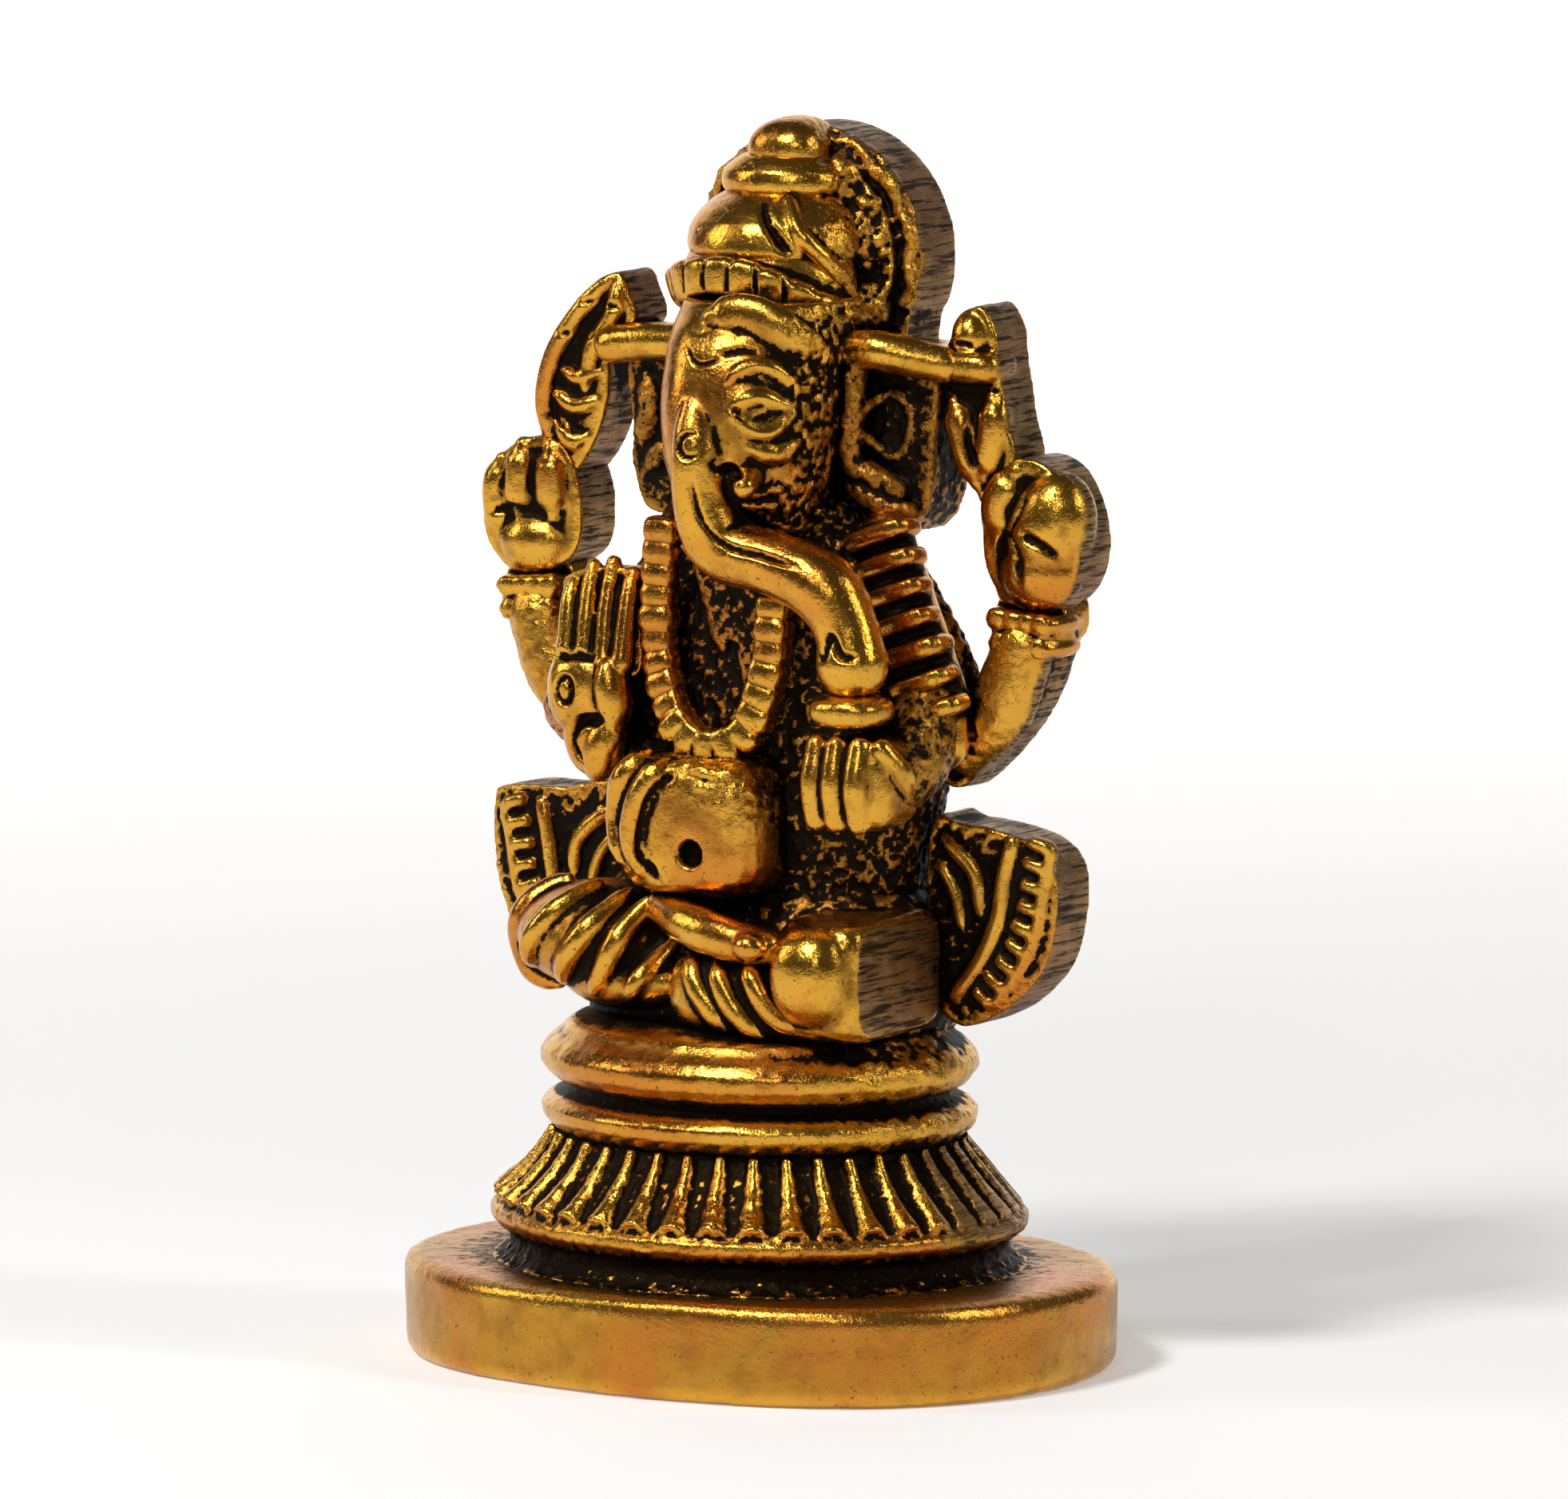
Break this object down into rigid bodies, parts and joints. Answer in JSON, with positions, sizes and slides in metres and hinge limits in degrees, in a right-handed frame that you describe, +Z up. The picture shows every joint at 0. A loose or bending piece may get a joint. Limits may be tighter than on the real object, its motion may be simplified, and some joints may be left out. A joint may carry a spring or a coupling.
{
  "type": "hindu deity statue",
  "caption": "Small cast brass figure of a seated, four-armed, elephant-headed deity with a halo, on a flared oval pedestal and slab.",
  "frame": {"origin": "middle of the underside of the base slab, at the bottom centre of the bounding box", "axes": "+Z up, the figure faces -Y, +X is the viewer's right when looking at its face"},
  "size_m": [0.0444, 0.035, 0.075],
  "materials": {
    "polished_brass": "polished highlights over dark patina in the recesses",
    "recess_brass": "cast surface with dark patina",
    "filed_brass": "polished faces with filed, streaked edges",
    "slab_brass": "satin, ground side and rough cast top"
  },
  "bodies": {
    "root": {"base_slab": "slab_brass", "belly": "polished_brass", "crossed_foot": "polished_brass", "crown_band": "polished_brass", "crown_dome": "polished_brass", "crown_finial": "polished_brass", "crown_ring": "polished_brass", "garland": "polished_brass", "halo": "filed_brass", "head": "polished_brass", "left_axe": "polished_brass", "left_bangle": "polished_brass", "left_bolster": "filed_brass", "left_ear": "recess_brass", "left_fist": "polished_brass", "left_front_arm": "recess_brass", "left_leg": "polished_brass", "left_link_bar": "polished_brass", "left_open_palm": "polished_brass", "left_raised_arm": "filed_brass", "lotus_skirt": "polished_brass", "lower_ring": "polished_brass", "pleat_fan": "polished_brass", "right_bangle": "polished_brass", "right_bolster": "filed_brass", "right_ear": "recess_brass", "right_fist": "polished_brass", "right_front_arm": "recess_brass", "right_front_hand": "polished_brass", "right_goad": "polished_brass", "right_leg": "polished_brass", "right_link_bar": "polished_brass", "right_raised_arm": "filed_brass", "seat": "recess_brass", "shoulder_shawl": "polished_brass", "sweet": "polished_brass", "torso": "recess_brass", "trunk": "polished_brass", "tusk": "polished_brass", "upper_ring": "polished_brass"}
  },
  "joints": []
}
